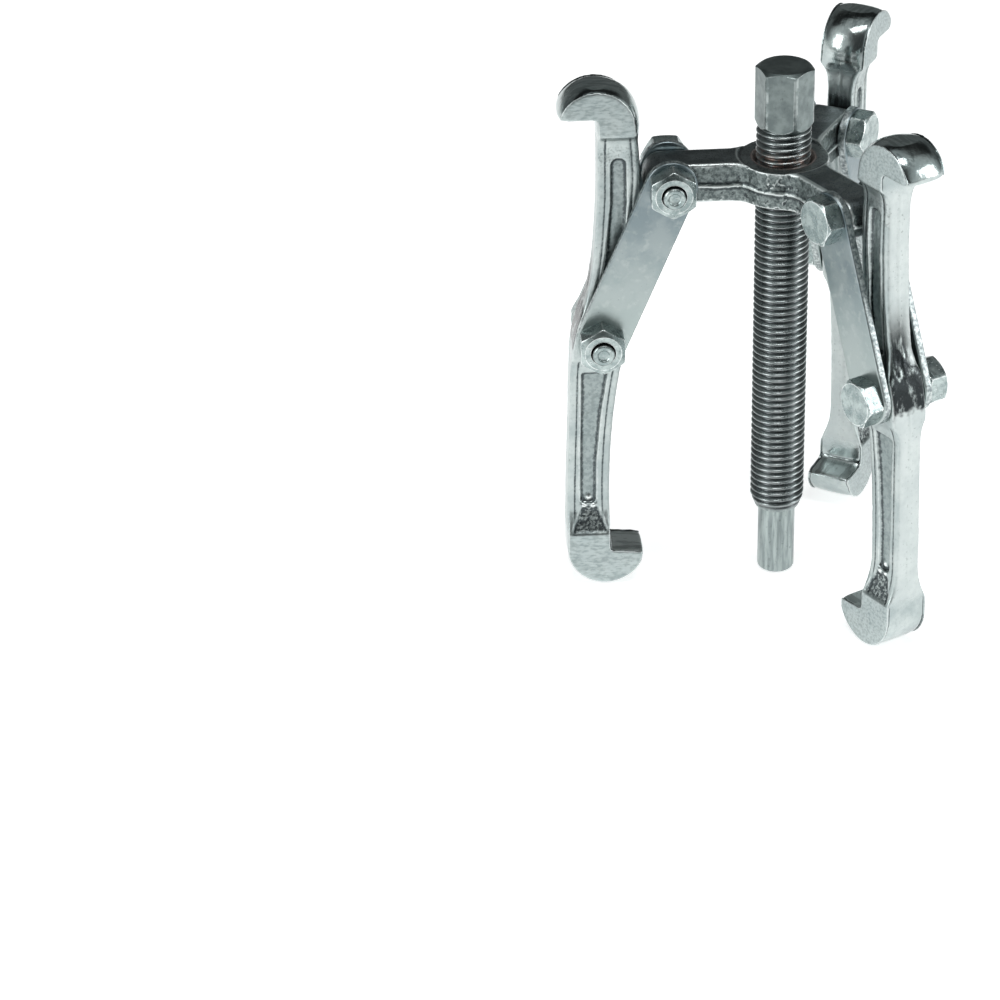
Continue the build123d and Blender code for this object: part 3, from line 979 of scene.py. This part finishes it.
def jaw_shape():
    """The first arm's jaw in that arm's own r, t, z, with its forged skin and wear-rounded edges."""
    clay = Clay(even_mesh("jaw_1", jaw_voxel, math.pi))
    r, t, z = clay.points.T
    in_head = 1 - rise_and_fall(z, *lower_head_z, *upper_head_z)
    in_boss = rise_and_fall(z, *boss_z)
    clay.points = clay.relaxed(3)
    from_edge = outline_distance(clay)
    rim = 1 - step_up(from_edge, 1.8, 2.8)
    clay.points = clay.relaxed(22, rim * (1 - 0.85 * in_head) * (1 - 0.7 * in_boss))
    for tip_r, tip_z in hook_tips:
        clay.points = clay.relaxed(30, 1 - step_up(np.hypot(r - tip_r, z - tip_z), 2.0, 4.0))
    normals = clay.normals()
    r, t, z = clay.points.T
    band = step_up(1 - np.abs(normals[:, 1]), 0.35, 0.75)
    strip = np.exp(-((from_edge - 2.9) / 0.55) ** 2) * (1 - in_head) * (1 - in_boss) * (1 - band)
    from_pivot = np.hypot(r - lower_pivot[0], z - lower_pivot[1])
    clear = step_up(from_pivot, 10.2, 12.5)

    # Wide skin of the dies, small grain in the transitions, and a trimmed ledge round the middle.
    skin = 0.07 * clay.speckle(7, 21) + 0.035 * clay.speckle(1.6, 22)
    half_width = 7.5 - 0.41 * (z - scoop_z[0])
    middle = 1 - step_up(np.abs(r - scoop_middle), half_width - 1.2, half_width + 0.6)
    scoop = rise_and_fall(z, *scoop_z) * middle * (1 - band)
    outer = step_up(r, 72, 74)
    ragged = z + 1.8 * clay.speckle(4, 28)
    # The throat mask marks crumpled, rough forged skin, which the finish also paints dark as shade,
    # less on the lit side.
    throat_boss = outer * step_up(ragged, *boss_throat_z[:2]) + (1 - outer) * step_up(z, 107, 111)
    throat_boss = throat_boss * (1 - step_up(z, *boss_throat_z[2:]))
    lit_side = step_up(t, 0.5, 4.5) * step_up(z, 109, 116)
    throat_boss = throat_boss * (1 - 0.7 * lit_side)
    throat_high = step_up(z, *upper_throat_z[:2]) * (1 - step_up(ragged, *upper_throat_z[2:]))
    throat_high = throat_high * step_up(-normals[:, 0], 0.2, 0.6)
    crumple = (1 - step_up(from_edge, 1.5, 4)) * rise_and_fall(z, 108, 111, 116, 121)
    throat = np.clip(band * (throat_boss + 0.85 * throat_high) + crumple * outer, 0, 1)
    rough = scoop * (0.14 * clay.speckle(1.9, 23) + 0.06 * clay.speckle(0.9, 24))
    rough = rough + throat * 0.16 * clay.speckle(2.2, 25, 2, stretch=(1, 1, 0.2))

    # Domed crowns, fuller over the upper hook's inner side, and beads of flash above the scoop.
    crown = band * in_head
    rough = rough - crown * 0.9 * (t / head_half) ** 4
    draft = (0.55 + 1.3 * step_up(-normals[:, 0], 0.2, 0.8)) * (1 - (t / head_half) ** 2)
    rough = rough + crown * draft * step_up(z, 176, 185)
    ledge = 0.14 * np.exp(-(t / 0.6) ** 2) * band * (1 - in_head)
    depth = skin * (1 - 0.8 * in_head) + rough + ledge - 0.7 * scoop - 0.2 * strip
    depth = depth * clear - 0.05
    shine = np.zeros(len(r))
    for bump_r, bump_z, size in flash_beads:
        away = ((r - bump_r) ** 2 + (z - bump_z) ** 2) / size ** 2
        shine = shine + np.exp(-away) * (1 - band)
    depth = depth + 0.75 * shine
    clay.points = clay.points + normals * depth[:, None]
    clay.write()

    # What the plating shows: rough in the throats, and dark there as forged skin and as painted shade,
    # and bright round the crowns and rims.
    clay.paint("grain", scoop)
    clay.paint("throat", throat)
    facet_line = np.exp(-((np.abs(t) - 1.8) / 0.35) ** 2) * band * (1 - in_head)
    facet_line = facet_line * step_up(clay.speckle(16, 27), -0.4, 0.3)
    clay.paint("seam", (strip + 0.35 * facet_line) * clear)
    # The beads of flash are marked for a painted highlight.
    clay.paint("shine", shine)
    clay.paint("rim", band * (1 - in_head))
    lower_grip = step_up(normals[:, 2], 0.6, 0.9) * (z < 30)
    clay.paint("polish", crown * (1 - 0.9 * lower_grip))
    clay.paint("grip", crown * lower_grip)
    on_hooks = np.clip(lower_grip + step_up(z, 178, 182) * step_up(normals[:, 2], 0.3, 0.9), 0, 1)
    ground = np.clip(0.5 + clay.speckle(1.5, 26, 3, stretch=(0.15, 1, 0.5)), 0, 1)
    clay.paint("ground", crown * on_hooks * ground)
    clay.paint("flat_head", (1 - band) * in_head * (1 - scoop))
    sunk_in = step_up(shank_half - np.abs(t), 0.5, 0.9) * step_up(np.abs(normals[:, 1]), 0.8, 0.95)
    clay.paint("panel", sunk_in * step_up(z, 31, 34))
    clay.paint("scarred", rise_and_fall(z, *scarred_z) * (1 - band))
    clay.paint_hollows(4, 0.09)
    return clay.mesh


def jaw_finish():
    """Bright zinc plate: satin on the shank, mirror-like round the crowns, dark where it is rough, with
    painted shade in the throats and hollows and painted highlights on the edges and the beads of flash.
    """
    material, shader, place = new_finish("bright_plated_forging")
    grain = attribute_wire(place, "grain")
    polish = attribute_wire(place, "polish")
    flat_head = attribute_wire(place, "flat_head")
    panel = attribute_wire(place, "panel")
    scarred = attribute_wire(place, "scarred")
    ground = attribute_wire(place, "ground")
    shine = attribute_wire(place, "shine")
    rim = attribute_wire(place, "rim")
    grip = attribute_wire(place, "grip")
    _, _, z = place.split()
    throat = attribute_wire(place, "throat")
    seam = attribute_wire(place, "seam")
    hollow = attribute_wire(place, "hollow")
    cloud = noise_wire(place, 11 * mm, detail=3.0)
    lumps = noise_wire(place, 4 * mm, detail=3.0)
    stain = noise_wire(place, 1.8 * mm, detail=5.0, roughness=0.6)
    speckles = noise_wire(place, 0.9 * mm, detail=3.0)
    pits = speckles.ramp(0.66, 0.74) + scarred * 0.9 * speckles.ramp(0.5, 0.62)
    hatching = noise_wire(place, 0.9 * mm, detail=4.0, stretch=(0.35, 1.0, 1.0))
    colour = cloud.ramp(0.35, 0.68).tint((0.38, 0.435, 0.435, 1), (0.52, 0.57, 0.56, 1))
    colour = (stain.ramp(0.46, 0.68) * 0.28).tint(colour, (0.27, 0.33, 0.33, 1))
    colour = grip.tint(colour, (0.78, 0.84, 0.83, 1))
    colour = (ground.ramp(0.45, 0.75) * 0.4).tint(colour, (0.12, 0.15, 0.15, 1))
    colour = (rim * 0.4).tint(colour, (0.66, 0.7, 0.69, 1))
    stained = stain.ramp(0.4, 0.62).tint((0.3, 0.35, 0.35, 1), (0.2, 0.24, 0.24, 1))
    colour = (panel * 0.8).tint(colour, stained)
    colour = (seam.ramp(0.2, 0.9) * 0.4).tint(colour, (0.16, 0.2, 0.2, 1))
    worked = hatching.ramp(0.4, 0.66).tint((0.42, 0.48, 0.48, 1), (0.2, 0.245, 0.245, 1))
    colour = (flat_head * 0.62).tint(colour, worked)
    dark_skin = noise_wire(place, 1.1 * mm, detail=4.0).ramp(0.44, 0.64)
    colour = (grain * 0.9).tint(colour, dark_skin.tint((0.05, 0.06, 0.065, 1), (0.42, 0.47, 0.46, 1)))
    drawn_out = noise_wire(place, 2.4 * mm, detail=4.0, stretch=(1, 1, 0.16))
    at_boss = 1 - z.ramp(113 * mm, 121 * mm)
    crumpled = noise_wire(place, 3.4 * mm, detail=5.0, roughness=0.6, stretch=(1, 1, 0.6))
    splashes = at_boss * crumpled + (1 - at_boss) * drawn_out
    splashes = splashes.ramp(0.5, 0.72).tint((0.01, 0.013, 0.015, 1), (0.5, 0.56, 0.55, 1))
    # Crumpled dark skin in the throats, deepened by painted shade.
    colour = (throat * 0.96).tint(colour, splashes)
    colour = (pits * (1 - polish) * 0.5).tint(colour, (0.14, 0.16, 0.16, 1))
    # Painted shade in the hollows, and painted highlights along the edges.
    colour = (hollow.ramp(0.15, 0.6) * 0.9).tint(colour, (0.05, 0.06, 0.065, 1))
    colour = ((0 - hollow).ramp(0.4, 1.0) * 0.5).tint(colour, (0.8, 0.84, 0.83, 1))
    # Painted highlight on the beads of flash.
    colour = shine.ramp(0.25, 0.7).tint(colour, (0.85, 0.89, 0.88, 1))
    colour.into(shader, "Base Color")
    brushed = noise_wire(place, 0.35 * mm, detail=3.0, stretch=(1, 1, 0.08))
    roughness = 0.3 + 0.1 * cloud - polish * 0.2 - throat * 0.12 + grain * 0.08
    roughness.into(shader, "Roughness")
    fine = noise_wire(place, 0.45 * mm, detail=3.0)
    satin = 1 - polish * 0.8
    add_bump(shader, [
        (lumps * (0.5 + 0.35 * polish), 0.16 * mm),
        (stain * satin * (0.7 + grain), 0.07 * mm),
        (fine * satin, 0.016 * mm),
        (brushed * flat_head, 0.012 * mm),
        (hatching * flat_head, 0.02 * mm),
    ])
    return material


jaw_mesh = dressed(jaw_shape(), jaw_finish())
for number, to_arm in arm_turns.items():
    node = f"jaw_{number}"
    place_piece(node + "_forging", jaw_mesh, node, [node], to_arm)
